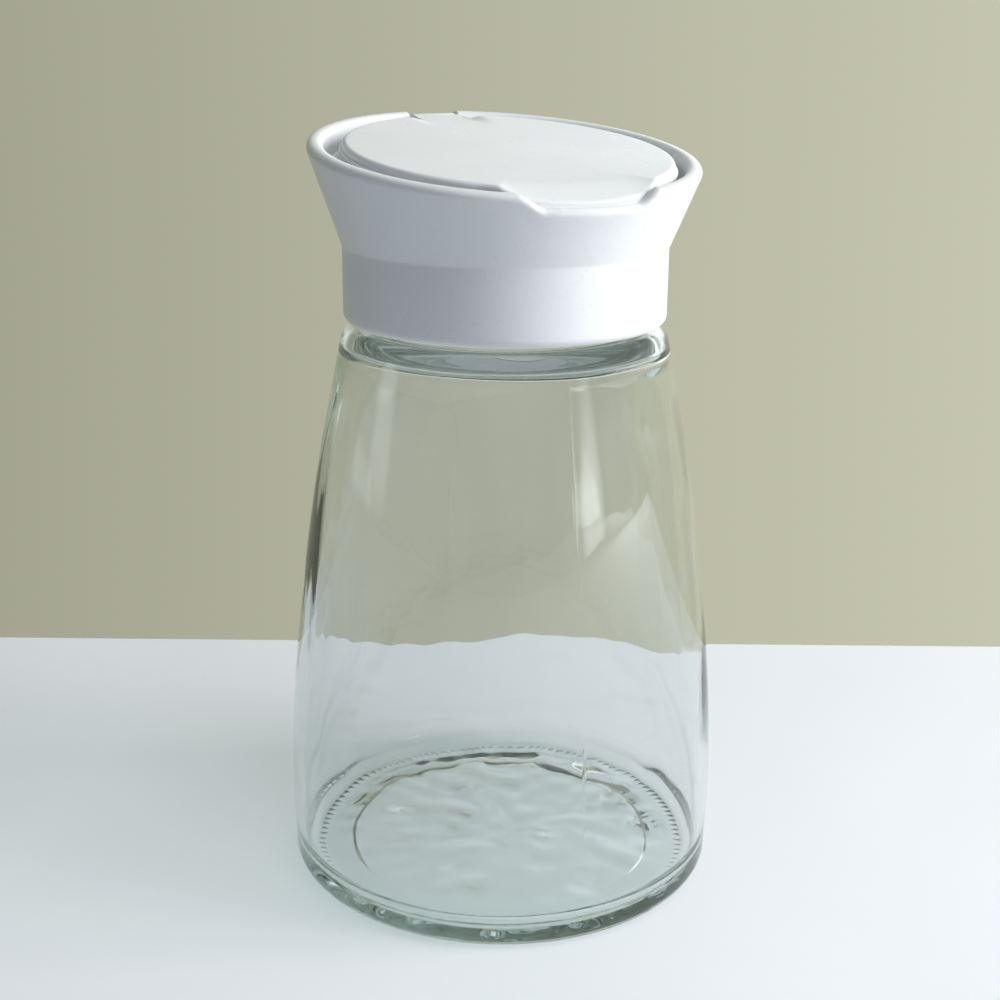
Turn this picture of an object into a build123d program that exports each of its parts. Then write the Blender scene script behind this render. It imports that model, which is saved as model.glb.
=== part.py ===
from build123d import *
from math import cos, radians, sin, tan
import os

# A glass sugar dispenser, in millimetres. The jar stands on z = 0 about the Z axis.
# The rim of its cap slants: the thumb tab is at the low side, towards -Y, and the hinge at +Y.

os.makedirs("parts", exist_ok=True)

# Neck of the jar and its screw thread
neck_radius = 22.6
neck_height = 12.4
neck_wall = 3.1
neck_root_round = 0.6
bead_width = 1.3
bead_height = 1.5
bead_round = 0.4
mouth_round = 0.7
thread_pitch = 4.2
thread_turns = 1.25
thread_depth = 1.15
thread_root_width = 2.2
thread_crest_width = 1.0
thread_bite = 0.4
thread_start_height = 4.6
thread_clearance = 0.3

# Walls and height of the cap
liner_wall = 2.1
liner_play = 0.05
liner_ceiling = 1.8
liner_recess = 0.8
skirt_wall = 2.0
skirt_height = 12.9
skirt_gap = 0.9
skirt_edge_round = 1.5
snap_bead = 0.4
flare_reach = 5.95
flare_height = 16.1
rim_slant = 8.0
rim_back_shift = 0.6
recess_back_shift = 0.3
lip_width = 3.0
lip_round = 1.25
notch_depth = 2.7
notch_angle = 16.0
notch_wall_slope = 45.0

# Body of the jar
shoulder_height = 101.2
shoulder_overhang = 0.9
shoulder_round = 3.2
shoulder_wall = 3.2
side_slope = 0.2
belly_radius = 39.5
belly_height = 14.4
foot_inset = 3.3
heel_round = 3.0
glass_wall = 2.1
base_thickness = 3.4
inner_corner_round = 4.2
inner_mouth_round = 2.2
inner_shoulder_round = 2.6
bearing_width = 3.2
punt_slope_width = 5.0
punt_depth = 1.0

# Gasket on the jar's mouth
gasket_thickness = 1.4
gasket_inset = 0.5

# Pour deck under the lid
deck_depth = 3.7
deck_thickness = 1.9
deck_play = 0.08
chute_wall = 1.7
throat_play = 0.1
pour_length = 18.0
pour_width = 11.0
pour_offset = 12.5
pour_lip_height = 0.6
pour_lip_width = 1.3

# Flip lid
lid_groove = 2.9
lid_forward = 1.2
lid_rise = 0.45
lid_plate = 1.6
lid_edge_round = 0.6
lid_skirt_wall = 1.5
lid_skirt_gap = 0.35
lid_step = 0.5
lid_step_drop = 1.3
lid_step_height = 0.8
tab_gap = 0.35
tab_flank = 3.0
scoop_run = 6.2
scoop_dip = 1.9

# Lid plug
plug_play = 0.3
plug_seat_gap = 0.1
plug_reach = 1.5
plug_holder_wall = 1.2
plug_holder_height = 1.0

# Hinge at the high side of the rim
pin_radius = 0.9
pin_length = 14.6
pin_setback = 3.6
leaf_drop = 0.15
barrel_radius = 1.9
barrel_width = 8.6
barrel_play = 0.06
barrel_side_gap = 0.3
hinge_clearance = 0.4

# Radii that stack outward from the neck
mouth_radius = neck_radius - neck_wall
throat_radius = mouth_radius + throat_play
thread_crest_radius = neck_radius + thread_depth
bore_radius = thread_crest_radius + thread_clearance
liner_radius = bore_radius + liner_wall
skirt_bore_radius = liner_radius + liner_play
skirt_radius = skirt_bore_radius + skirt_wall
rim_radius = skirt_radius + flare_reach
recess_radius = rim_radius - lip_width
lid_radius = recess_radius - lid_groove
shoulder_radius = skirt_radius + shoulder_overhang
foot_radius = belly_radius - foot_inset

# Heights that stack upward from the shoulder
mouth_height = shoulder_height + neck_height
ceiling_height = mouth_height + gasket_thickness
liner_top = ceiling_height + liner_ceiling
skirt_bottom = shoulder_height + skirt_gap
liner_bottom = skirt_bottom + liner_recess
crease_height = skirt_bottom + skirt_height
rim_height = crease_height + flare_height

# The rim plane: its local Y climbs towards the hinge
slant_normal = (0, -sin(radians(rim_slant)), cos(radians(rim_slant)))
rim_plane = Plane(origin=(0, 0, rim_height), x_dir=(1, 0, 0), z_dir=slant_normal)
rim_front_plane = Plane(origin=rim_plane.origin, x_dir=(1, 0, 0), z_dir=-rim_plane.y_dir)
rim_front_reach = rim_radius - rim_back_shift
deck_bottom_plane = rim_plane.offset(-deck_depth - deck_thickness)
overrun = 10.0

# The hinge pin's axis, along X
pin_y = rim_radius + rim_back_shift - pin_setback
pin_drop = barrel_radius + leaf_drop
pin_centre = rim_plane.from_local_coords((0, pin_y, -pin_drop))
hinge_plane = Plane(origin=pin_centre, x_dir=(0, 1, 0), z_dir=(1, 0, 0))
slot_radius = barrel_radius + hinge_clearance
slot_width = barrel_width + 2 * barrel_side_gap


def thread_section(root_radius, crest_radius):
    """Corners of a thread ridge, from its root to its crest along the radius."""
    reach = crest_radius - root_radius
    half_root = thread_root_width / 2
    half_crest = thread_crest_width / 2
    return [(0, -half_root), (reach, -half_crest), (reach, half_crest), (0, half_root)]


def notch_section(floor):
    """Corners of the notch in the rim's low side, from its floor up to well over the rim."""
    half_width = rim_front_reach * sin(radians(notch_angle))
    spread = 2 * notch_depth / tan(radians(notch_wall_slope))
    return [
        (-half_width, floor),
        (half_width, floor),
        (half_width + spread, floor + 2 * notch_depth),
        (-half_width - spread, floor + 2 * notch_depth),
    ]


def flare_form(crease_radius, radius_at_rim, back_shift):
    """A flare from the level circle at the crease to the slanted circle at the rim."""
    with BuildPart() as form:
        with BuildSketch(Plane.XY.offset(crease_height)):
            Circle(crease_radius)
        with BuildSketch(rim_plane):
            with Locations((0, back_shift)):
                Circle(radius_at_rim)
        loft(ruled=True)
    return form.part


# Glass jar: one revolved wall, whose side swells from the shoulder down to the belly.
# Each swell point is a share of the side's height and a share of the swell.
swell_points = [(0.444, 0.75), (0.789, 0.337)]
straight_run = 1.2
corner_share = 0.9
shoulder_start = shoulder_height - straight_run * shoulder_round
shoulder_corner = shoulder_radius - side_slope * (shoulder_height - shoulder_start)
inner_shoulder = shoulder_height - shoulder_wall
inner_start = inner_shoulder - straight_run * inner_shoulder_round
inner_top_radius = shoulder_radius - glass_wall
inner_belly = belly_radius - glass_wall
inner_corner = min(inner_corner_round, corner_share * (belly_height - base_thickness))


def side_points(inset, top_height):
    """Points of the jar's side, from the belly up to the shoulder, moved in by the wall."""
    points = [(belly_radius - inset, belly_height)]
    for rise, share in swell_points:
        radius = shoulder_radius + share * (belly_radius - shoulder_radius) - inset
        points.append((radius, belly_height + rise * (shoulder_start - belly_height)))
    return points + [(shoulder_radius - inset, top_height)]


with BuildPart() as glass_jar:
    with BuildSketch(Plane.XZ):
        with BuildLine():
            heel = RadiusArc(
                (foot_radius, 0), (foot_radius + heel_round, heel_round), -heel_round
            )
            Spline(heel @ 1, (belly_radius, belly_height), tangents=[(0, 1), (0, 1)])
            outer_side = Spline(side_points(0, shoulder_start), tangents=[(0, 1), (-side_slope, 1)])
            FilletPolyline(
                outer_side @ 1,
                (shoulder_corner, shoulder_height),
                (neck_radius + bead_width, shoulder_height),
                (neck_radius + bead_width, shoulder_height + bead_height),
                (neck_radius, shoulder_height + bead_height + bead_width / 2),
                (neck_radius, mouth_height),
                (mouth_radius, mouth_height),
                (mouth_radius, inner_shoulder),
                (inner_top_radius, inner_shoulder),
                (inner_top_radius, inner_start),
                radius=[
                    shoulder_round,
                    neck_root_round,
                    bead_round,
                    bead_round,
                    mouth_round,
                    mouth_round,
                    inner_mouth_round,
                    inner_shoulder_round,
                ],
            )
            inner_side = Spline(
                side_points(glass_wall, inner_start), tangents=[(0, 1), (-side_slope, 1)]
            )
            FilletPolyline(
                inner_side @ 0, (inner_belly, base_thickness), (0, base_thickness), radius=[inner_corner]
            )
            Polyline(
                (0, base_thickness),
                (0, punt_depth),
                (foot_radius - bearing_width - punt_slope_width, punt_depth),
                (foot_radius - bearing_width, 0),
                (foot_radius, 0),
            )
        make_face()
    revolve(axis=Axis.Z)
    jar_thread_height = shoulder_height + thread_start_height
    jar_thread_root = neck_radius - thread_bite
    with BuildLine():
        jar_helix = Helix(
            thread_pitch, thread_pitch * thread_turns, jar_thread_root, center=(0, 0, jar_thread_height)
        )
    with BuildSketch(Plane(origin=jar_helix @ 0, x_dir=(1, 0, 0), z_dir=jar_helix % 0)):
        with BuildLine():
            Polyline(thread_section(jar_thread_root, thread_crest_radius), close=True)
        make_face()
    sweep(path=jar_helix, is_frenet=True)
glass_jar.part.label = "glass_jar"

# Gasket: a flat ring between the jar's mouth and the liner's ceiling.
with BuildPart() as jar_gasket:
    with BuildSketch(Plane.XY.offset(mouth_height)):
        Circle(thread_crest_radius - gasket_inset)
        Circle(mouth_radius + gasket_inset, mode=Mode.SUBTRACT)
    extrude(amount=gasket_thickness)
jar_gasket.part.label = "jar_gasket"

# Cap liner: a collar with the female thread and a ceiling ring that presses on the gasket. Its
# thread starts half a turn round from the jar's, so it runs midway between the jar's turns.
liner_thread_root = bore_radius + thread_bite
liner_helix = Pos(0, 0, jar_thread_height) * Rot(0, 0, 180) * Helix(
    thread_pitch, thread_pitch * thread_turns, liner_thread_root
)
with BuildPart() as cap_liner:
    with BuildSketch(Plane.XY.offset(liner_bottom)):
        Circle(liner_radius)
        Circle(bore_radius, mode=Mode.SUBTRACT)
    extrude(amount=ceiling_height - liner_bottom)
    with BuildSketch(Plane.XY.offset(ceiling_height)):
        Circle(liner_radius)
        Circle(throat_radius, mode=Mode.SUBTRACT)
    extrude(amount=liner_ceiling)
    with BuildSketch(Plane(origin=liner_helix @ 0, x_dir=(-1, 0, 0), z_dir=liner_helix % 0)):
        with BuildLine():
            Polyline(thread_section(liner_thread_root, neck_radius + thread_clearance), close=True)
        make_face()
    sweep(path=liner_helix, is_frenet=True)
cap_liner.part.label = "cap_liner"

# Cap shell: skirt and flare in one moulding, with a rounded lip round the slanted rim, the tab's
# notch at the low side, the barrel's slot and the pin's holes at the high side, and a snap bead
# under the liner.
with BuildPart() as cap_shell:
    add(flare_form(skirt_radius, rim_radius, rim_back_shift))
    with BuildSketch(Plane.XY.offset(skirt_bottom)):
        Circle(skirt_radius)
    extrude(amount=skirt_height)
    fillet(cap_shell.edges().sort_by(Axis.Z)[0], skirt_edge_round)
    add(flare_form(skirt_bore_radius, recess_radius, recess_back_shift), mode=Mode.SUBTRACT)
    with BuildSketch(Plane.XY.offset(skirt_bottom)):
        Circle(skirt_bore_radius)
    extrude(amount=skirt_height, mode=Mode.SUBTRACT)
    with BuildSketch(rim_front_plane):
        with BuildLine():
            Polyline(notch_section(-notch_depth), close=True)
        make_face()
    extrude(amount=rim_radius + overrun, mode=Mode.SUBTRACT)
    rim_face = cap_shell.faces().sort_by(Axis(rim_plane.origin, rim_plane.z_dir))[-1]
    fillet(rim_face.edges(), lip_round)
    with BuildSketch(hinge_plane.offset(-slot_width / 2)):
        Circle(slot_radius)
        with Locations((slot_radius, slot_radius)):
            Rectangle(4 * slot_radius, 2 * slot_radius)
    extrude(amount=slot_width, mode=Mode.SUBTRACT)
    with BuildSketch(hinge_plane.offset(-pin_length / 2)):
        Circle(pin_radius)
    extrude(amount=pin_length, mode=Mode.SUBTRACT)
    with BuildSketch(Plane.XZ):
        with BuildLine():
            Polyline(
                (skirt_bore_radius, skirt_bottom + liner_play),
                (skirt_bore_radius - snap_bead, (skirt_bottom + liner_bottom) / 2),
                (skirt_bore_radius, liner_bottom - liner_play),
                close=True,
            )
        make_face()
    revolve(axis=Axis.Z)
cap_shell.part.label = "cap_shell"

# Hinge pin: pressed into the rim on both sides of the barrel's slot.
with BuildPart() as hinge_pin:
    with BuildSketch(hinge_plane.offset(-pin_length / 2)):
        Circle(pin_radius)
    extrude(amount=pin_length)
hinge_pin.part.label = "hinge_pin"

# Pour deck: a slanted plate seated in the flare, with a raised lip round the pouring hole and a
# chute down to the liner.
with BuildPart() as chute_bore:
    with BuildSketch(Plane.XY.offset(liner_top)):
        Circle(throat_radius)
    extrude(amount=rim_height - liner_top)
    split(bisect_by=deck_bottom_plane, keep=Keep.BOTTOM)

with BuildPart() as pour_deck:
    with BuildSketch(Plane.XY.offset(liner_top)):
        Circle(throat_radius + chute_wall)
    extrude(amount=rim_height - liner_top)
    split(bisect_by=deck_bottom_plane, keep=Keep.BOTTOM)
    with BuildSketch(deck_bottom_plane):
        Circle(rim_radius)
    extrude(amount=deck_thickness)
    add(
        flare_form(skirt_bore_radius - deck_play, recess_radius - deck_play, recess_back_shift),
        mode=Mode.INTERSECT,
    )
    add(chute_bore.part, mode=Mode.SUBTRACT)
    with BuildSketch(deck_bottom_plane.offset(deck_thickness)):
        with Locations((0, -pour_offset)):
            SlotOverall(pour_length + 2 * pour_lip_width, pour_width + 2 * pour_lip_width)
    extrude(amount=pour_lip_height)
    with BuildSketch(deck_bottom_plane):
        with Locations((0, -pour_offset)):
            SlotOverall(pour_length, pour_width)
    extrude(amount=deck_thickness + pour_lip_height, mode=Mode.SUBTRACT)
    with BuildSketch(hinge_plane.offset(-slot_width / 2)):
        Circle(slot_radius)
    extrude(amount=slot_width, mode=Mode.SUBTRACT)
pour_deck.part.label = "pour_deck"

# Flip lid: a hollow disc with a stepped edge, which stands a little proud of the rim and forward
# of the cap's axis, a thumb tab that fills the rim's notch, and a leaf with a barrel on the pin.
lid_plane = rim_plane.offset(lid_rise)
leaf_plane = rim_plane.offset(-leaf_drop)
lid_under_plane = lid_plane.offset(-lid_plate)
lid_centre = lid_plane.from_local_coords((0, -lid_forward, 0))
lid_depth = deck_depth + lid_rise - lid_skirt_gap
lid_step_bottom = lid_step_drop + lid_step_height
lid_skirt_radius = lid_radius - lid_step
tab_reach = recess_radius - recess_back_shift - tab_gap
tab_half_width = rim_front_reach * sin(radians(notch_angle))
scoop_start = lid_plane.from_local_coords((0, scoop_run - tab_reach, 0))
scoop_end = lid_plane.from_local_coords((0, -tab_reach, -scoop_dip))
flange_length = pour_length + 2 * pour_lip_width
flange_width = pour_width + 2 * pour_lip_width

with BuildPart() as lid_tab:
    with BuildSketch(lid_plane):
        with BuildLine():
            Polyline(
                (-tab_half_width - tab_flank, scoop_run - tab_reach),
                (tab_half_width + tab_flank, scoop_run - tab_reach),
                (tab_half_width, -tab_reach),
                (-tab_half_width, -tab_reach),
                close=True,
            )
        make_face()
    extrude(amount=-lid_depth)
    add(
        flare_form(skirt_bore_radius - tab_gap, recess_radius - tab_gap, recess_back_shift),
        mode=Mode.INTERSECT,
    )

with BuildPart() as flip_lid:
    with BuildSketch(Plane(origin=lid_centre, x_dir=(1, 0, 0), z_dir=-rim_plane.y_dir)):
        with BuildLine():
            edge_round = JernArc((lid_radius, -lid_edge_round), (0, 1), lid_edge_round, 90)
            Polyline(
                edge_round @ 1,
                (0, 0),
                (0, -lid_plate),
                (lid_skirt_radius - lid_skirt_wall, -lid_plate),
                (lid_skirt_radius - lid_skirt_wall, -lid_depth),
                (lid_skirt_radius, -lid_depth),
                (lid_skirt_radius, -lid_step_bottom),
                (lid_radius + lid_step, -lid_step_bottom),
                (lid_radius + lid_step, -lid_step_drop),
                (lid_radius, -lid_step_drop),
                edge_round @ 0,
            )
        make_face()
    revolve(axis=Axis(lid_centre, rim_plane.z_dir))
    add(lid_tab.part)
    with BuildSketch(Plane(origin=scoop_start, x_dir=(1, 0, 0), z_dir=scoop_end - scoop_start)):
        with BuildLine():
            Polyline(notch_section(0), close=True)
        make_face()
    extrude(amount=scoop_run + overrun, mode=Mode.SUBTRACT)
    with BuildSketch(leaf_plane):
        with Locations((0, pin_y)):
            Rectangle(barrel_width, lid_radius, align=(Align.CENTER, Align.MAX))
    extrude(amount=-lid_plate)
    with BuildSketch(hinge_plane.offset(-barrel_width / 2)):
        Circle(barrel_radius)
    extrude(amount=barrel_width)
    with BuildSketch(hinge_plane.offset(-barrel_width / 2)):
        Circle(pin_radius + barrel_play)
    extrude(amount=barrel_width, mode=Mode.SUBTRACT)
    with BuildSketch(lid_under_plane):
        with Locations((0, -pour_offset)):
            SlotOverall(flange_length + 2 * plug_holder_wall, flange_width + 2 * plug_holder_wall)
            SlotOverall(flange_length, flange_width, mode=Mode.SUBTRACT)
    extrude(amount=-plug_holder_height)
flip_lid.part.label = "flip_lid"

# Lid plug: a soft plug held in the ring under the lid, its flange over the pouring hole's lip
# and its stem in the hole.
plug_seat = deck_depth - pour_lip_height - plug_seat_gap
with BuildPart() as lid_plug:
    with BuildSketch(lid_under_plane):
        with Locations((0, -pour_offset)):
            SlotOverall(flange_length, flange_width)
    extrude(amount=lid_plate - lid_rise - plug_seat)
    with BuildSketch(rim_plane.offset(-plug_seat)):
        with Locations((0, -pour_offset)):
            SlotOverall(pour_length - 2 * plug_play, pour_width - 2 * plug_play)
    extrude(amount=-plug_reach)
lid_plug.part.label = "lid_plug"

pieces = (glass_jar, jar_gasket, cap_liner, cap_shell, hinge_pin, pour_deck, flip_lid, lid_plug)
for piece in pieces:
    export_step(piece.part, f"parts/{piece.part.label}.step")
    print(piece.part.label, piece.part.is_valid, len(piece.part.solids()), round(piece.part.volume, 1))
print("hinge pin at", pin_centre, "thread lead", thread_pitch, "mouth at", mouth_height)
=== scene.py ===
import math

import bmesh
import bpy
from mathutils import Matrix, Vector, geometry, kdtree, noise


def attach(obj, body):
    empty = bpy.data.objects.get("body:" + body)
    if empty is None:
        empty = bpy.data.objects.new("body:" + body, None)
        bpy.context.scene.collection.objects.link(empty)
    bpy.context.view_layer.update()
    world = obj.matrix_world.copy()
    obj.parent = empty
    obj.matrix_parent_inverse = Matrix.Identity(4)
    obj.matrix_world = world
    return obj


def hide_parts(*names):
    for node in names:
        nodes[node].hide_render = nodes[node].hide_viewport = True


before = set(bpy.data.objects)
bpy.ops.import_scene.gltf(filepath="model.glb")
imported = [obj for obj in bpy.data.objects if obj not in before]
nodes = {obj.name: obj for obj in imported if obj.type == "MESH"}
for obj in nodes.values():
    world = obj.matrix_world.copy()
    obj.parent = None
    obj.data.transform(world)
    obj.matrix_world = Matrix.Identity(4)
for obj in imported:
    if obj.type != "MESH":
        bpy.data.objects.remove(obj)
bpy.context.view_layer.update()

# Camera: it stands as the photographer stood, a little above the cap and turned off the thumb
# tab, with a slight roll. The lens takes in the whole jar, and nothing is out of focus.
camera_side = math.radians(-26.07)
camera_reach = 0.2681
camera_height = 0.1520
camera_pitch = math.radians(17.275)
camera_roll = math.radians(0.49)
camera_turn = math.radians(0.123)

photo_camera = bpy.data.cameras.new("photo_camera")
photo_camera.lens = 55.54
photo_camera.sensor_width = 36.0
photo_camera.clip_start = 0.01
photo_camera.clip_end = 20.0
camera = bpy.data.objects.new("photo_camera", photo_camera)
camera.location = (
    camera_reach * math.sin(camera_side),
    -camera_reach * math.cos(camera_side),
    camera_height,
)
camera.rotation_euler = (
    Matrix.Rotation(camera_side + camera_turn, 3, "Z")
    @ Matrix.Rotation(math.radians(90) - camera_pitch, 3, "X")
    @ Matrix.Rotation(camera_roll, 3, "Z")
).to_euler()
bpy.context.scene.collection.objects.link(camera)
bpy.context.scene.camera = camera
bpy.context.scene.view_settings.view_transform = "Standard"

# Table: a painted white top whose far edge ends a little way behind the jar, as the table in the
# picture meets its wall. It belongs to the stage, and the jar's ring stands just clear of it.
table_behind = 0.100
table_front = 0.80
table_width = 2.4
table_thickness = 0.02
table_edge = 0.002
table_clearance = 0.00004
paint_dark = (0.76, 0.80, 0.845, 1)
paint_light = (0.80, 0.84, 0.885, 1)


def object_from(bm, name, body=None, smooth=True):
    """Turns a finished bmesh into an object at the origin, riding on a body if it has one."""
    mesh = bpy.data.meshes.new(name)
    bm.to_mesh(mesh)
    bm.free()
    if smooth:
        mesh.shade_smooth()
    piece = bpy.data.objects.new(name, mesh)
    bpy.context.scene.collection.objects.link(piece)
    if body:
        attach(piece, body)
    return piece


def new_material(name):
    """A material with an empty tree, its Principled shader and its output."""
    material = bpy.data.materials.new(name)
    material.use_nodes = True
    tree = material.node_tree
    tree.nodes.clear()
    shader = tree.nodes.new("ShaderNodeBsdfPrincipled")
    output = tree.nodes.new("ShaderNodeOutputMaterial")
    tree.links.new(shader.outputs["BSDF"], output.inputs["Surface"])
    return material, tree, shader


bm = bmesh.new()
bmesh.ops.create_cube(bm, size=1.0)
bmesh.ops.scale(bm, vec=(table_width, table_front + table_behind, table_thickness), verts=bm.verts)
bmesh.ops.translate(
    bm,
    vec=(0, (table_behind - table_front) / 2, -table_thickness / 2 - table_clearance),
    verts=bm.verts,
)
bmesh.ops.bevel(
    bm,
    geom=bm.edges[:],
    offset=table_edge,
    segments=3,
    profile=0.5,
    affect="EDGES",
    material=-1,
)
bmesh.ops.rotate(bm, cent=(0, 0, 0), matrix=Matrix.Rotation(camera_side, 3, "Z"), verts=bm.verts)
table = object_from(bm, "table", smooth=False)

paint, tree, shader = new_material("table_paint")
coords = tree.nodes.new("ShaderNodeTexCoord")
mottle = tree.nodes.new("ShaderNodeTexNoise")
mottle.inputs["Scale"].default_value = 9.0
mottle.inputs["Detail"].default_value = 4.0
tones = tree.nodes.new("ShaderNodeValToRGB")
tones.color_ramp.elements[0].position = 0.3
tones.color_ramp.elements[0].color = paint_dark
tones.color_ramp.elements[1].position = 0.7
tones.color_ramp.elements[1].color = paint_light
tree.links.new(coords.outputs["Object"], mottle.inputs["Vector"])
tree.links.new(mottle.outputs["Fac"], tones.inputs["Fac"])
tree.links.new(tones.outputs["Color"], shader.inputs["Base Color"])
shader.inputs["Roughness"].default_value = 0.55
table.data.materials.append(paint)

# Light: a window at the right, a soft lamp overhead, a faint cool one at the left, and a tiny one
# in the jar for what the table throws up under the cap. The far wall is a warm grey, and the
# glass and the gloss see soft-edged panes in the room instead of the lamps.
right_of_camera = Vector((math.cos(camera_side), math.sin(camera_side), 0))
towards_camera = Vector((math.sin(camera_side), -math.cos(camera_side), 0))
jar_middle = Vector((0, 0, 0.075))
wall_shade = (0.345, 0.347, 0.262, 1)
wall_light = (0.600, 0.603, 0.462, 1)
near_room = (0.30, 0.32, 0.345, 1)
room_fill = 0.36
pane_foot = 0.12
pane_head = 0.18
panes = (
    (54, 9, -0.14, 0.42, (4.3, 4.4, 4.6, 1)),
    (-82, 10, -0.10, 0.35, (1.8, 1.85, 1.9, 1)),
    (140, 58, 0.02, 0.50, (1.5, 1.55, 1.6, 1)),
)


def soft_light(name, across, forward, height, width, tall, power, tint):
    """An area light aimed at the jar: across is to the camera's right, forward is towards it."""
    lamp = bpy.data.lights.new(name, "AREA")
    lamp.shape = "RECTANGLE"
    lamp.size = width
    lamp.size_y = tall
    lamp.energy = power
    lamp.color = tint
    light = bpy.data.objects.new(name, lamp)
    light.location = right_of_camera * across + towards_camera * forward + Vector((0, 0, height))
    light.rotation_euler = (jar_middle - light.location).to_track_quat("-Z", "Y").to_euler()
    light.visible_camera = False
    light.visible_glossy = False
    light.visible_transmission = False
    bpy.context.scene.collection.objects.link(light)


soft_light("window", 0.98, 0.16, 0.48, 0.55, 0.75, 17.4, (1.0, 0.99, 0.97))
soft_light("overhead", 0.30, 0.25, 1.05, 0.60, 0.60, 4.0, (0.95, 0.98, 1.0))
soft_light("left_fill", -0.90, 0.45, 0.35, 0.25, 0.60, 0.35, (0.84, 0.91, 1.0))
soft_light("table_glow", 0.0, 0.0, 0.05, 0.03, 0.03, 0.02, (0.97, 1.0, 0.97))
bpy.context.scene.cycles.caustics_refractive = True
bpy.context.scene.cycles.caustics_reflective = False
bpy.context.scene.cycles.glossy_bounces = 80
bpy.context.scene.cycles.transmission_bounces = 80
bpy.context.scene.cycles.max_bounces = 120

room = bpy.data.worlds.new("room")
bpy.context.scene.world = room
room.use_nodes = True
tree = room.node_tree
tree.nodes.clear()
coords = tree.nodes.new("ShaderNodeTexCoord")
turn = tree.nodes.new("ShaderNodeMapping")
turn.vector_type = "POINT"
turn.inputs["Rotation"].default_value = (0, 0, -camera_side)
parts = tree.nodes.new("ShaderNodeSeparateXYZ")
side = tree.nodes.new("ShaderNodeMapRange")
side.inputs["From Min"].default_value = -1.0
side.inputs["From Max"].default_value = 1.0
wall = tree.nodes.new("ShaderNodeValToRGB")
wall.color_ramp.elements[0].position = 0.30
wall.color_ramp.elements[0].color = wall_shade
wall.color_ramp.elements[1].position = 0.72
wall.color_ramp.elements[1].color = wall_light
depth = tree.nodes.new("ShaderNodeMapRange")
depth.inputs["From Min"].default_value = -0.45
depth.inputs["From Max"].default_value = 0.35
near = tree.nodes.new("ShaderNodeMix")
near.data_type = "RGBA"
near.inputs["A"].default_value = near_room
tree.links.new(coords.outputs["Generated"], turn.inputs["Vector"])
tree.links.new(turn.outputs["Vector"], parts.inputs["Vector"])
tree.links.new(parts.outputs["X"], side.inputs["Value"])
tree.links.new(side.outputs["Result"], wall.inputs["Fac"])
tree.links.new(parts.outputs["Y"], depth.inputs["Value"])
tree.links.new(depth.outputs["Result"], near.inputs["Factor"])
tree.links.new(wall.outputs["Color"], near.inputs["B"])
lit = near.outputs["Result"]
for bearing, half_width, low, high, glow in panes:
    angle = math.radians(bearing)
    facing = tree.nodes.new("ShaderNodeVectorMath")
    facing.operation = "DOT_PRODUCT"
    facing.inputs[1].default_value = (math.sin(angle), -math.cos(angle), 0)
    tree.links.new(turn.outputs["Vector"], facing.inputs[0])
    dark_side = math.cos(math.radians(half_width))
    bright_side = math.cos(math.radians(half_width / 3))
    mask = None
    for value, dark, bright in (
        (facing.outputs["Value"], dark_side, bright_side),
        (parts.outputs["Z"], low, low + pane_foot),
        (parts.outputs["Z"], high, high - pane_head),
    ):
        edge = tree.nodes.new("ShaderNodeMapRange")
        edge.interpolation_type = "SMOOTHSTEP"
        edge.inputs["From Min"].default_value = dark
        edge.inputs["From Max"].default_value = bright
        tree.links.new(value, edge.inputs["Value"])
        if mask:
            tree.links.new(mask, edge.inputs["To Max"])
        mask = edge.outputs["Result"]
    pane = tree.nodes.new("ShaderNodeMix")
    pane.data_type = "RGBA"
    pane.inputs["B"].default_value = glow
    tree.links.new(mask, pane.inputs["Factor"])
    tree.links.new(lit, pane.inputs["A"])
    lit = pane.outputs["Result"]
seen_by = tree.nodes.new("ShaderNodeLightPath")
kept = tree.nodes.new("ShaderNodeMix")
kept.data_type = "RGBA"
strength = tree.nodes.new("ShaderNodeMapRange")
strength.inputs["To Min"].default_value = 1.0
strength.inputs["To Max"].default_value = room_fill
background = tree.nodes.new("ShaderNodeBackground")
output = tree.nodes.new("ShaderNodeOutputWorld")
tree.links.new(seen_by.outputs["Is Diffuse Ray"], kept.inputs["Factor"])
tree.links.new(lit, kept.inputs["A"])
tree.links.new(near.outputs["Result"], kept.inputs["B"])
tree.links.new(kept.outputs["Result"], background.inputs["Color"])
tree.links.new(seen_by.outputs["Is Diffuse Ray"], strength.inputs["Value"])
tree.links.new(strength.outputs["Result"], background.inputs["Strength"])
tree.links.new(background.outputs["Background"], output.inputs["Surface"])

# Glass jar: blown in a two-part mould from clear soda glass. Its outline is drawn once, rounded at
# the corners and spun, then the thread, the seam, the knurls and the uneven floor are pressed in.
foot_radius = 36.2
ring_width = 3.2
heel_radius = 39.2
punt_depth = 1.0
punt_radius = 28.0
punt_slope = 0.5
punt_step = 0.35
shoulder_height = 101.2
shoulder_radius = 28.332
neck_radius = 22.6
bead_stand = 1.3
bead_height = 1.5
neck_foot = 2.15
mouth_height = 113.6
mouth_radius = 19.5
under_height = 98.0
under_radius = 27.0
floor_height = 3.4
floor_radius = 37.4
outer_side = (
    ((39.20, 3.0), (39.20, 6.9), (39.49, 10.5), (39.49, 14.4)),
    ((39.49, 14.4), (39.49, 27.07), (38.379, 39.057), (36.90, 51.234)),
    ((36.90, 51.234), (35.741, 60.779), (34.361, 70.437), (32.605, 79.855)),
    ((32.605, 79.855), (31.522, 85.665), (30.296, 91.382), (29.10, 97.36)),
)
inner_side = (
    ((27.0, 94.88), (28.029, 89.736), (29.398, 84.844), (30.505, 79.855)),
    ((30.505, 79.855), (32.58, 70.497), (33.73, 60.795), (34.80, 51.234)),
    ((34.80, 51.234), (36.165, 39.036), (37.40, 27.066), (37.40, 14.4)),
)
jar_steps = 360

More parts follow.
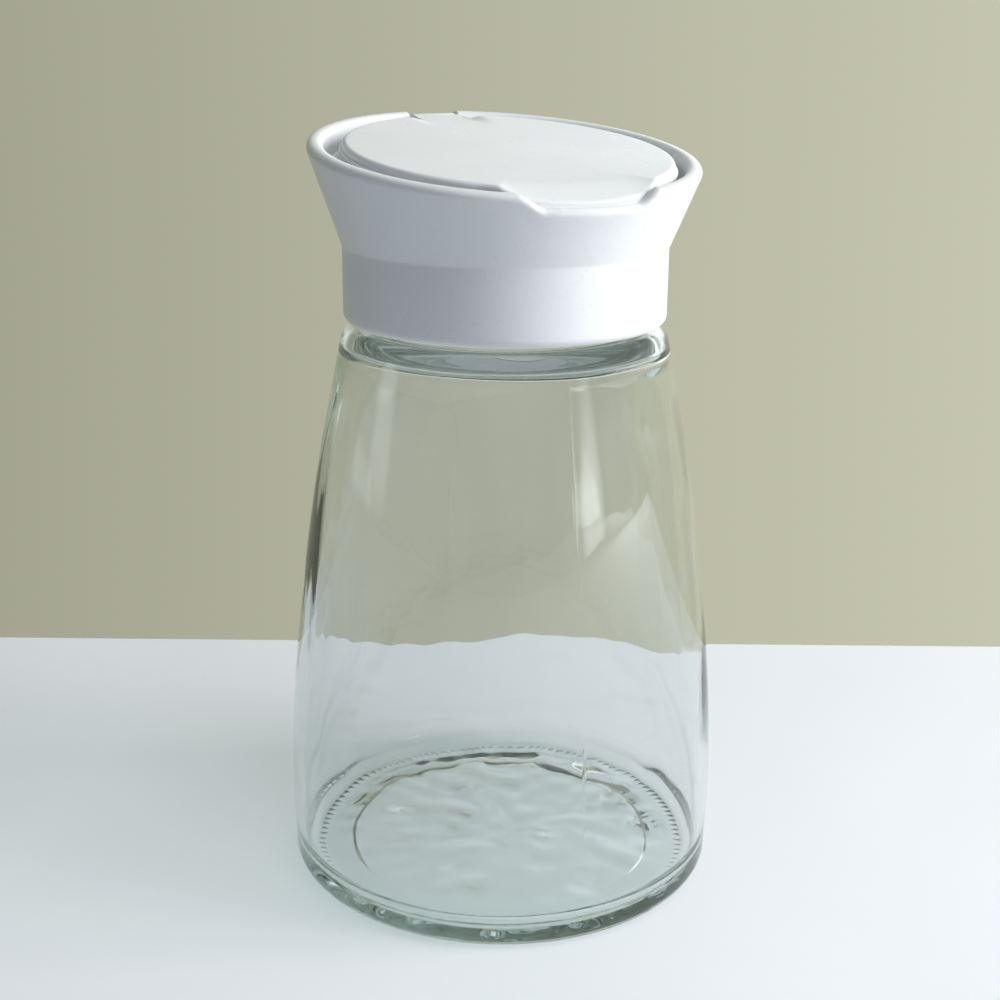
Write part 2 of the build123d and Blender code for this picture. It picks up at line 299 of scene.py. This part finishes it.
full_turn = 2 * math.pi
thread_low = 103.4
thread_start = shoulder_height + 4.6
thread_pitch = 4.2
thread_end = 1.25 * full_turn
thread_runout = 0.25
thread_depth = 1.15
thread_crest = 0.5
thread_foot = 1.1
seam_bearing = math.radians(85)
seam_reach = 0.09
seam_depth = 0.025
seam_ends = (1, 99)
knurl_ring = (33.8, 35.3)
knurl_depth = 0.30
knurl_every = 3
wave_top = 97
wave_drift = 0.35
drift_size = 30.0
wave_ribs = 0.16
rib_size = 5.0
wave_sway = 0.021
sway_middle = 50
sway_turn = 0.42
floor_waves = ((0.60, 4.5, 7.0), (0.45, 13.0, 3.0))

glass_colour = (0.94, 0.952, 0.957, 1)
glass_body = (0.59, 0.685, 0.66, 1)
glass_density = 42.0
glass_shadow = (0.955, 0.97, 0.965, 1)


def corner(bm, vert, radius, segments):
    """Rounds one corner of an outline to a radius."""
    one, two = (edge.other_vert(vert).co - vert.co for edge in vert.link_edges)
    reach = radius * math.tan((math.pi - one.angle(two)) / 2)
    bmesh.ops.bevel(
        bm,
        geom=[vert],
        offset=reach,
        offset_type="OFFSET",
        affect="VERTICES",
        segments=segments,
        profile=0.5,
        material=-1,
    )


def draw(bm, stations, last=None):
    """Adds a run of outline points, radius and height, and joins them to the point before."""
    for radius, height in stations:
        vert = bm.verts.new((radius, 0, height))
        if last:
            bm.edges.new((last, vert))
        last = vert
    return last


def curve_stations(spans, steps):
    """Points along a side that is drawn in cubic spans."""
    stations = []
    for span in spans:
        knots = [Vector((radius, 0, height)) for radius, height in span]
        run = geometry.interpolate_bezier(*knots, steps)
        stations += [(point.x, point.z) for point in run[1 if stations else 0 :]]
    return stations


def divide(bm, inner, outer, low, high, cuts):
    """Puts points on an outline's long straight runs between two radii and two heights."""
    runs = [
        edge
        for edge in bm.edges
        if edge.calc_length() > 2
        and all(inner <= v.co.x <= outer and low <= v.co.z <= high for v in edge.verts)
    ]
    bmesh.ops.subdivide_edges(bm, edges=runs, cuts=cuts)


def spin_round(bm, steps):
    """Spins an outline about the upright axis: a quarter first, then its three copies."""
    quarter = math.pi / 2
    bmesh.ops.spin(
        bm,
        geom=bm.verts[:] + bm.edges[:],
        cent=(0, 0, 0),
        axis=(0, 0, 1),
        angle=quarter,
        steps=steps // 4,
        use_merge=False,
    )
    first = bm.verts[:] + bm.edges[:] + bm.faces[:]
    for turns in (1, 2, 3):
        copied = bmesh.ops.duplicate(bm, geom=first)["geom"]
        bmesh.ops.rotate(
            bm,
            cent=(0, 0, 0),
            matrix=Matrix.Rotation(turns * quarter, 3, "Z"),
            verts=[item for item in copied if isinstance(item, bmesh.types.BMVert)],
        )
    bmesh.ops.remove_doubles(bm, verts=bm.verts, dist=0.0005)
    bmesh.ops.recalc_face_normals(bm, faces=bm.faces)


def ramp(value, low, high):
    """Climbs straight from 0 at low to 1 at high."""
    return min(1.0, max(0.0, (value - low) / (high - low)))


def to_metres(bm):
    """Turns the faces outwards and brings a shape drawn in millimetres to metres."""
    bmesh.ops.recalc_face_normals(bm, faces=bm.faces)
    bmesh.ops.scale(bm, vec=(0.001, 0.001, 0.001), verts=bm.verts)


bm = bmesh.new()
punt_edge = draw(bm, [(0, punt_depth), (punt_radius, punt_depth)])
punt_foot = draw(bm, [(punt_radius + punt_slope, punt_step)], punt_edge)
ring_inner = draw(bm, [(foot_radius - ring_width, 0)], punt_foot)
ring_outer = draw(bm, [(heel_radius, 0)], ring_inner)
side_end = draw(bm, curve_stations(outer_side, 14)[1:], ring_outer)
shoulder = draw(bm, [(shoulder_radius, shoulder_height)], side_end)
bead_low = draw(bm, [(neck_radius + bead_stand, shoulder_height)], shoulder)
bead_top = draw(bm, [(neck_radius + bead_stand, shoulder_height + bead_height)], bead_low)
neck_low = draw(bm, [(neck_radius, shoulder_height + neck_foot)], bead_top)
mouth_outer = draw(bm, [(neck_radius, mouth_height)], neck_low)
mouth_inner = draw(bm, [(mouth_radius, mouth_height)], mouth_outer)
throat_low = draw(bm, [(mouth_radius, under_height)], mouth_inner)
under_shoulder = draw(bm, [(under_radius, under_height)], throat_low)
inner_end = draw(bm, curve_stations(inner_side, 12), under_shoulder)
floor_corner = draw(bm, [(floor_radius, floor_height)], inner_end)
draw(bm, [(0, floor_height)], floor_corner)
for vert, radius, segments in (
    (punt_edge, 0.4, 3),
    (punt_foot, 0.5, 3),
    (ring_inner, 1.0, 4),
    (ring_outer, 2.98, 9),
    (shoulder, 3.2, 10),
    (bead_low, 0.6, 4),
    (bead_top, 0.4, 3),
    (neck_low, 0.4, 3),
    (mouth_outer, 0.7, 4),
    (mouth_inner, 0.7, 4),
    (throat_low, 2.2, 8),
    (under_shoulder, 2.6, 8),
    (floor_corner, 4.2, 12),
):
    corner(bm, vert, radius, segments)
divide(bm, neck_radius - 0.1, neck_radius + 0.1, thread_low, mouth_height - 0.6, 30)
divide(bm, -1, 34, floor_height - 0.1, floor_height + 0.1, 18)
divide(bm, -1, punt_radius, punt_depth - 0.1, punt_depth + 0.1, 8)
divide(bm, 33, 37, -0.01, 0.01, 4)

# The outline is walked from the hollow's middle over the mouth to the floor's middle, so that each
# point of the spun jar can be told to be on the outer or the inner side of the glass.
outline = kdtree.KDTree(len(bm.verts))
is_inner = []
past_mouth = False
here, came = min(bm.verts, key=lambda vert: (vert.co.x, vert.co.z)), None
while here:
    on_mouth = here.co.z > mouth_height - 0.01
    past_mouth = past_mouth or on_mouth and here.co.x < (mouth_radius + neck_radius) / 2
    outline.insert(here.co, len(is_inner))
    is_inner.append(past_mouth)
    came = next((edge for edge in here.link_edges if edge is not came), None)
    here = came.other_vert(here) if came else None
outline.balance()
spin_round(bm, jar_steps)

for vert in bm.verts:
    x, y, z = vert.co
    radius = math.hypot(x, y)
    if radius < 0.001:
        continue
    around = math.atan2(y, x) % full_turn
    push = 0.0
    lift = 0.0
    pinch = 0.0
    if is_inner[outline.find((radius, 0, z))[1]]:
        if z < wave_top:
            drift = noise.noise(Vector((x, y, z)) / drift_size)
            ribs = noise.noise(Vector((x, y, z / 5)) / rib_size)
            sway = wave_sway * (z - sway_middle) * math.cos(4 * around + sway_turn)
            fade = ramp(z, 24, 48) * (1 - ramp(z, wave_top - 10, wave_top))
            push = (wave_drift * drift + wave_ribs * ribs + sway) * fade
        if z < floor_height + 3.6 and radius < 34:
            fade = 1 - ramp(radius, 28, 33)
            for height, size, level in floor_waves:
                lift += fade * height * noise.noise(Vector((x, y, level)) / size)
    else:
        if abs(radius - neck_radius) < 0.05 and z > thread_low:
            for turned in (around, around + full_turn):
                if turned <= thread_end:
                    fade = min(turned, thread_end - turned, thread_runout) / thread_runout
                    away = abs(z - thread_start - thread_pitch * turned / full_turn)
                    ridge = thread_depth * (1 - ramp(away, thread_crest, thread_foot))
                    push = max(push, fade * ridge)
        seam = around % math.pi - seam_bearing
        if seam_ends[0] < z < seam_ends[1] and abs(seam) < seam_reach:
            push = -seam_depth * (abs(seam) < 0.001)
            pinch = seam * ((abs(seam) / seam_reach) ** 1.2 - 1)
        if z < 0.01 and knurl_ring[0] < radius < knurl_ring[1]:
            lift = knurl_depth * (round(math.degrees(around)) % knurl_every == 0)
    vert.co.x = (radius + push) * math.cos(around + pinch)
    vert.co.y = (radius + push) * math.sin(around + pinch)
    vert.co.z = z + lift
to_metres(bm)
jar = object_from(bm, "jar_glass", "jar")
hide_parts("glass_jar")

glass, tree, shader = new_material("clear_glass")
surface = tree.nodes["Material Output"].inputs["Surface"]
body_tint = tree.nodes.new("ShaderNodeVolumeAbsorption")
body_tint.inputs["Color"].default_value = glass_body
body_tint.inputs["Density"].default_value = glass_density
tree.links.new(body_tint.outputs["Volume"], tree.nodes["Material Output"].inputs["Volume"])
shader.inputs["Base Color"].default_value = glass_colour
shader.inputs["Transmission Weight"].default_value = 1.0
shader.inputs["IOR"].default_value = 1.51
shader.inputs["Roughness"].default_value = 0.0
path = tree.nodes.new("ShaderNodeLightPath")
through = tree.nodes.new("ShaderNodeBsdfTransparent")
through.inputs["Color"].default_value = glass_shadow
either = tree.nodes.new("ShaderNodeMixShader")
tree.links.new(path.outputs["Is Shadow Ray"], either.inputs["Fac"])
tree.links.new(shader.outputs["BSDF"], either.inputs[1])
tree.links.new(through.outputs["BSDF"], either.inputs[2])
tree.links.new(either.outputs["Shader"], surface)
jar.data.materials.append(glass)

# Cap mouldings: the shell, the lid and the deck are the same white polypropylene, with the fine
# grain of a spark-eroded mould and faint specks in the white.
grain = bpy.data.node_groups.new("mould_grain", "ShaderNodeTree")
for name, kind, way in (
    ("Vector", "NodeSocketVector", "INPUT"),
    ("Colour", "NodeSocketColor", "INPUT"),
    ("Speck Colour", "NodeSocketColor", "INPUT"),
    ("Grain Scale", "NodeSocketFloat", "INPUT"),
    ("Shine", "NodeSocketFloat", "INPUT"),
    ("Colour", "NodeSocketColor", "OUTPUT"),
    ("Roughness", "NodeSocketFloat", "OUTPUT"),
    ("Height", "NodeSocketFloat", "OUTPUT"),
):
    grain.interface.new_socket(name, in_out=way, socket_type=kind)
into = grain.nodes.new("NodeGroupInput")
out = grain.nodes.new("NodeGroupOutput")
fine = grain.nodes.new("ShaderNodeTexNoise")
fine.inputs["Detail"].default_value = 2.0
specks = grain.nodes.new("ShaderNodeTexNoise")
specks.inputs["Scale"].default_value = 900.0
specks.inputs["Detail"].default_value = 1.0
speck_mask = grain.nodes.new("ShaderNodeMapRange")
speck_mask.inputs["From Min"].default_value = 0.66
speck_mask.inputs["From Max"].default_value = 0.78
speck_mask.inputs["To Max"].default_value = 0.5
blend = grain.nodes.new("ShaderNodeMix")
blend.data_type = "RGBA"
flow = grain.nodes.new("ShaderNodeTexNoise")
flow.inputs["Scale"].default_value = 55.0
flow.inputs["Detail"].default_value = 3.0
polish = grain.nodes.new("ShaderNodeMapRange")
polish.inputs["From Min"].default_value = 0.3
polish.inputs["From Max"].default_value = 0.7
polish.inputs["To Min"].default_value = -0.05
polish.inputs["To Max"].default_value = 0.05
rough = grain.nodes.new("ShaderNodeMath")
rough.operation = "ADD"
for texture in (fine, specks, flow):
    grain.links.new(into.outputs["Vector"], texture.inputs["Vector"])
grain.links.new(into.outputs["Grain Scale"], fine.inputs["Scale"])
grain.links.new(specks.outputs["Fac"], speck_mask.inputs["Value"])
grain.links.new(speck_mask.outputs["Result"], blend.inputs["Factor"])
grain.links.new(into.outputs["Colour"], blend.inputs["A"])
grain.links.new(into.outputs["Speck Colour"], blend.inputs["B"])
grain.links.new(flow.outputs["Fac"], polish.inputs["Value"])
grain.links.new(polish.outputs["Result"], rough.inputs[0])
grain.links.new(into.outputs["Shine"], rough.inputs[1])
grain.links.new(blend.outputs["Result"], out.inputs["Colour"])
grain.links.new(rough.outputs["Value"], out.inputs["Roughness"])
grain.links.new(fine.outputs["Fac"], out.inputs["Height"])


def moulded(name, colour, speck, grain_scale, shine, depth):
    """A moulded plastic or rubber with the mould's grain on it."""
    material, tree, shader = new_material(name)
    coords = tree.nodes.new("ShaderNodeTexCoord")
    skin = tree.nodes.new("ShaderNodeGroup")
    skin.node_tree = grain
    skin.inputs["Colour"].default_value = (*colour, 1)
    skin.inputs["Speck Colour"].default_value = (*speck, 1)
    skin.inputs["Grain Scale"].default_value = grain_scale
    skin.inputs["Shine"].default_value = shine
    bump = tree.nodes.new("ShaderNodeBump")
    bump.inputs["Strength"].default_value = 0.25
    bump.inputs["Distance"].default_value = depth
    tree.links.new(coords.outputs["Object"], skin.inputs["Vector"])
    tree.links.new(skin.outputs["Colour"], shader.inputs["Base Color"])
    tree.links.new(skin.outputs["Roughness"], shader.inputs["Roughness"])
    tree.links.new(skin.outputs["Height"], bump.inputs["Height"])
    tree.links.new(bump.outputs["Normal"], shader.inputs["Normal"])
    return material


white = moulded(
    "white_plastic",
    colour=(0.665, 0.69, 0.715),
    speck=(0.58, 0.60, 0.62),
    grain_scale=2600.0,
    shine=0.30,
    depth=0.00006,
)

# Cap shell: one white moulding, its straight skirt under a crease and a flare above it. It is spun
# upright, then the flare is leaned back, the lip dips for the thumb tab and parts for the hinge.
skirt_bottom = 102.1
skirt_outside = 28.2
skirt_inside = 26.2
skirt_bead = ((26.2, 102.85), (25.8, 102.5), (26.2, 102.15))
crease_height = 115.0
rim_height = 131.1
rim_slant = math.radians(8.0)
rim_outer = 34.15
rim_inner = 31.15
rim_back = 0.3
rim_widening = 0.1
cap_steps = 720

notch_depth = 2.7
notch_half = 9.25
notch_ends = (notch_half - 0.9, notch_half + 3.4)
slot_depth = 2.05
slot_half = 4.6
slot_ends = (slot_half - 0.2, slot_half + 0.35)
pocket_depth = 2.3
pocket_wall = (32.3, 33.2)
sink_run = (1.6, 9.0)
sink_inwards = 0.33


def ease(value, low, high):
    """Climbs smoothly from 0 at low to 1 at high."""
    share = ramp(value, low, high)
    return share * share * (3.0 - 2.0 * share)


bm = bmesh.new()
skirt_back = draw(bm, [(skirt_inside, skirt_bottom)])
skirt_front = draw(bm, [(skirt_outside, skirt_bottom)], skirt_back)
crease_outer = draw(bm, [(skirt_outside, crease_height)], skirt_front)
lip_outer = draw(bm, [(rim_outer, rim_height)], crease_outer)
lip_inner = draw(bm, [(rim_inner, rim_height)], lip_outer)
crease_inner = draw(bm, [(skirt_inside, crease_height)], lip_inner)
bead_end = draw(bm, skirt_bead, crease_inner)
bm.edges.new((bead_end, skirt_back))
for vert, radius, segments in (
    (skirt_front, 1.5, 8),
    (crease_outer, 1.6, 5),
    (lip_outer, 1.25, 8),
    (lip_inner, 1.25, 8),
    (crease_inner, 0.6, 3),
):
    corner(bm, vert, radius, segments)
divide(bm, skirt_inside - 0.1, rim_outer, skirt_bottom, crease_height, 9)
divide(bm, skirt_inside - 0.1, rim_outer, crease_height, rim_height - 0.1, 34)
spin_round(bm, cap_steps)

wall_middle = (skirt_inside + skirt_outside) / 2
middle_flare = (rim_inner + rim_outer) / 2 - wall_middle
for vert in bm.verts:
    x, y, z = vert.co
    if z < crease_height - 0.9:
        continue
    radius = math.hypot(x, y)
    climb = ramp(z, crease_height, rim_height)
    outer = radius > wall_middle + middle_flare * climb
    flare = rim_outer - skirt_outside if outer else rim_inner - skirt_inside
    at_rim = radius + flare * (1 - climb)
    drop = 0.0
    if y < 0:
        drop = notch_depth * (1 - ease(abs(x), *notch_ends))
    elif abs(x) < 9:
        pocket = pocket_depth * (1 - ease(radius, *pocket_wall))
        drop = (slot_depth + pocket) * (1 - ease(abs(x), *slot_ends))
    drop *= 1 - ease(rim_height - z, *sink_run)
    z -= drop
    climb = ramp(z, crease_height, rim_height)
    shrink = 1 - sink_inwards * drop / radius
    x, y = x * shrink, y * shrink
    shift = rim_back + rim_widening * (at_rim - rim_inner)
    lean = at_rim * y / (radius * shrink) + shift
    vert.co.x = x
    vert.co.y = y * (1 + climb * (math.cos(rim_slant) - 1)) + climb * shift * math.cos(rim_slant)
    vert.co.z = z + climb * lean * math.sin(rim_slant)
to_metres(bm)
shell = object_from(bm, "shell_moulding", "cap")
shell.data.materials.append(white)
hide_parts("cap_shell")


# Pour deck: a white moulding pressed into the flare, with the pouring hole and a chute down to the
# liner. It is seen in the groove round the lid, and in full with the lid up.
def dress(node, material):
    """Gives a piece that stays as it was packed its own finish."""
    nodes[node].data.materials.clear()
    nodes[node].data.materials.append(material)


dress("pour_deck", white)

# Flip lid: a hollow white disc, spun and then drawn out at the front into a scooped thumb tab and
# at the back into the leaf that carries its barrel on the pin. A ring under it holds the plug.
lid_radius = 28.25
lid_forward = 1.2
lid_rise = 0.45
lid_depth = 3.8
lid_top = 1.6
top_break = 16
edge_depth = 1.3
step_depth = 2.1
step_reach = 0.5
skirt_inset = 0.5
skirt_wall = 1.5

pull_from = 19
tab_reach = 30.5
tab_half = 18
tab_centre = 0.3
tab_over = 0.65
tab_ends = (notch_half - 0.4, notch_half + 7.5)
lip_bottom = -2.3
step_back = 0.35
step_drop = 0.85
scoop_run = 6.2
scoop_dip = 1.9
scoop_side = notch_half + 4.4
scoop_climb = 0.7
leaf_half = 4.3
leaf_drop = 0.15
leaf_ends = (leaf_half - 0.2, leaf_half + 0.15)
leaf_run = (18.0, 28.2)
pin_across = 31.15
barrel_radius = 1.9
holder_length = 23.0
holder_width = 16.0
holder_forward = 12.5
holder_wall = 1.2
holder_depth = 1.05
holder_points = 96


def soft_bend(value, softness):
    """Stays near 0 below 0 and follows the value above it, with a soft turn between."""
    return (value + math.sqrt(value * value + softness)) / 2


bm = bmesh.new()
top_edge = draw(bm, [(0, 0), (top_break, 0), (lid_radius, 0)])
side_foot = draw(bm, [(lid_radius, -edge_depth)], top_edge)
step_out = draw(bm, [(lid_radius + step_reach, -edge_depth)], side_foot)
step_low = draw(bm, [(lid_radius + step_reach, -step_depth)], step_out)
skirt_top = draw(bm, [(lid_radius - skirt_inset, -step_depth)], step_low)
skirt_foot = draw(bm, [(lid_radius - skirt_inset, -lid_depth)], skirt_top)
hollow_foot = draw(bm, [(lid_radius - skirt_inset - skirt_wall, -lid_depth)], skirt_foot)
hollow_top = draw(bm, [(lid_radius - skirt_inset - skirt_wall, -lid_top)], hollow_foot)
draw(bm, [(0, -lid_top)], hollow_top)
for vert, radius, segments in (
    (top_edge, 0.8, 6),
    (step_out, 0.25, 3),
    (step_low, 0.25, 3),
    (skirt_foot, 0.35, 3),
    (hollow_foot, 0.35, 3),
):
    corner(bm, vert, radius, segments)
divide(bm, top_break, lid_radius, -0.01, 0.01, 32)
divide(bm, 0, top_break, -0.01, 0.01, 5)
spin_round(bm, cap_steps)

for vert in bm.verts:
    x, y, z = vert.co
    radius = math.hypot(x, y)
    on_top = z > -0.01
    on_skin = on_top or radius > 26.5
    in_lip = z > lip_bottom
    if radius > pull_from:
        pull = 0.0
        if y < 0 and abs(x) < tab_half:
            front = tab_reach + tab_centre + (tab_over if in_lip else 0.0)
            ahead = math.sqrt(max(0.0, front * front - x * x)) - tab_centre - lid_forward
            share = 1 - ease(abs(x), *tab_ends)
            pull = max(0.0, math.hypot(x, ahead) - lid_radius) * share
            if z < 0.05 - edge_depth:
                pull = max(0.0, pull - step_back * share)
            if in_lip and z < 0.3 - step_depth:
                z -= step_drop * share
        elif y > 0 and z > -lid_top and abs(x) < 8:
            behind = math.hypot(x, pin_across + lid_forward - 0.4) - lid_radius
            pull = behind * (1 - ease(abs(x), *leaf_ends))
        if not on_skin:
            pull = 0.0
        elif on_top:
            pull *= (radius - pull_from) / (lid_radius - pull_from)
        x *= 1 + pull / radius
        y *= 1 + pull / radius
        if z > -lid_top:
            leaf = (1 - ease(abs(x), leaf_half, leaf_half + 3)) * ease(y, *leaf_run)
            z -= (lid_rise + leaf_drop) * leaf * (1 - ease(-z, 0.4, edge_depth))
    y -= lid_forward
    if y < 0 and abs(x) < tab_half and z > lip_bottom and radius > pull_from - 1 and on_skin:
        deep = scoop_dip / scoop_run * soft_bend(-y - tab_reach + scoop_run, 7.0)
        deep -= scoop_climb * soft_bend(abs(x) - scoop_side, 4.0)
        deep = soft_bend(deep, 0.05) - 0.1
        z -= max(0.0, deep) * (1 - ease(-z, 0.5, 2.2))
    vert.co = (x, y, z)

holder = bmesh.ops.create_circle(
    bm,
    cap_ends=True,
    segments=holder_points,
    radius=holder_width / 2,
    matrix=Matrix.Rotation(math.pi / holder_points, 4, "Z"),
)["verts"]
for vert in holder:
    vert.co.x += math.copysign((holder_length - holder_width) / 2, vert.co.x)
    vert.co.y -= holder_forward
    vert.co.z = 0.05 - lid_top
middle = holder[0].link_faces[0]
wall_foot = bmesh.ops.inset_region(bm, faces=[middle], thickness=holder_wall)["faces"]
bmesh.ops.delete(bm, geom=[middle], context="FACES_ONLY")
raised = bmesh.ops.extrude_face_region(bm, geom=wall_foot)["geom"]
bmesh.ops.translate(
    bm,
    vec=(0, 0, -holder_depth),
    verts=[item for item in raised if isinstance(item, bmesh.types.BMVert)],
)

barrel_place = Matrix.Translation((0, pin_across, -barrel_radius - lid_rise - leaf_drop))
barrel = bmesh.ops.create_cone(
    bm,
    cap_ends=True,
    segments=64,
    radius1=barrel_radius,
    radius2=barrel_radius,
    depth=2 * leaf_half,
    matrix=barrel_place @ Matrix.Rotation(math.pi / 2, 4, "Y"),
)["verts"]
ends = {face for vert in barrel for face in vert.link_faces if len(face.verts) > 4}
rims = {edge for face in ends for edge in face.edges}
bmesh.ops.bevel(
    bm, geom=list(rims), offset=0.25, segments=3, profile=0.5, affect="EDGES", material=-1
)
to_metres(bm)
lid_height = rim_height + lid_rise * math.cos(rim_slant)
lid_plane = Matrix.Translation(
    Vector((0, -lid_rise * math.sin(rim_slant), lid_height)) * 0.001
) @ Matrix.Rotation(rim_slant, 4, "X")
bmesh.ops.transform(bm, matrix=lid_plane, verts=bm.verts)
lid = object_from(bm, "lid_moulding", "lid")
lid.data.materials.append(white)
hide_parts("flip_lid")

# Cap liner: the inner collar with the screw thread, pushed up into the shell's skirt. It is moulded
# from natural polypropylene, a little more see-through than the white.
natural = moulded(
    "liner_plastic",
    colour=(0.90, 0.91, 0.90),
    speck=(0.70, 0.71, 0.70),
    grain_scale=2200.0,
    shine=0.35,
    depth=0.00005,
)
dress("cap_liner", natural)

# Gasket and lid plug: soft milky silicone. The gasket lies on the jar's mouth under the liner, and
# the plug is pushed into the ring under the lid and closes the pouring hole.
silicone = moulded(
    "silicone",
    colour=(0.86, 0.88, 0.87),
    speck=(0.70, 0.71, 0.71),
    grain_scale=1800.0,
    shine=0.50,
    depth=0.00005,
)
dress("jar_gasket", silicone)
dress("lid_plug", silicone)

# Hinge pin: a straight length of steel wire, with the fine lines along it that drawing leaves. It
# is pressed into the shell's rim at both ends, and the lid's barrel turns on it.
steel, tree, shader = new_material("pin_steel")
coords = tree.nodes.new("ShaderNodeTexCoord")
stretch = tree.nodes.new("ShaderNodeMapping")
stretch.inputs["Scale"].default_value = (300.0, 6000.0, 6000.0)
drawn = tree.nodes.new("ShaderNodeTexNoise")
drawn.inputs["Scale"].default_value = 1.0
sheen = tree.nodes.new("ShaderNodeMapRange")
sheen.inputs["To Min"].default_value = 0.18
sheen.inputs["To Max"].default_value = 0.38
tree.links.new(coords.outputs["Object"], stretch.inputs["Vector"])
tree.links.new(stretch.outputs["Vector"], drawn.inputs["Vector"])
tree.links.new(drawn.outputs["Fac"], sheen.inputs["Value"])
tree.links.new(sheen.outputs["Result"], shader.inputs["Roughness"])
shader.inputs["Base Color"].default_value = (0.62, 0.62, 0.63, 1)
shader.inputs["Metallic"].default_value = 1.0
dress("hinge_pin", steel)
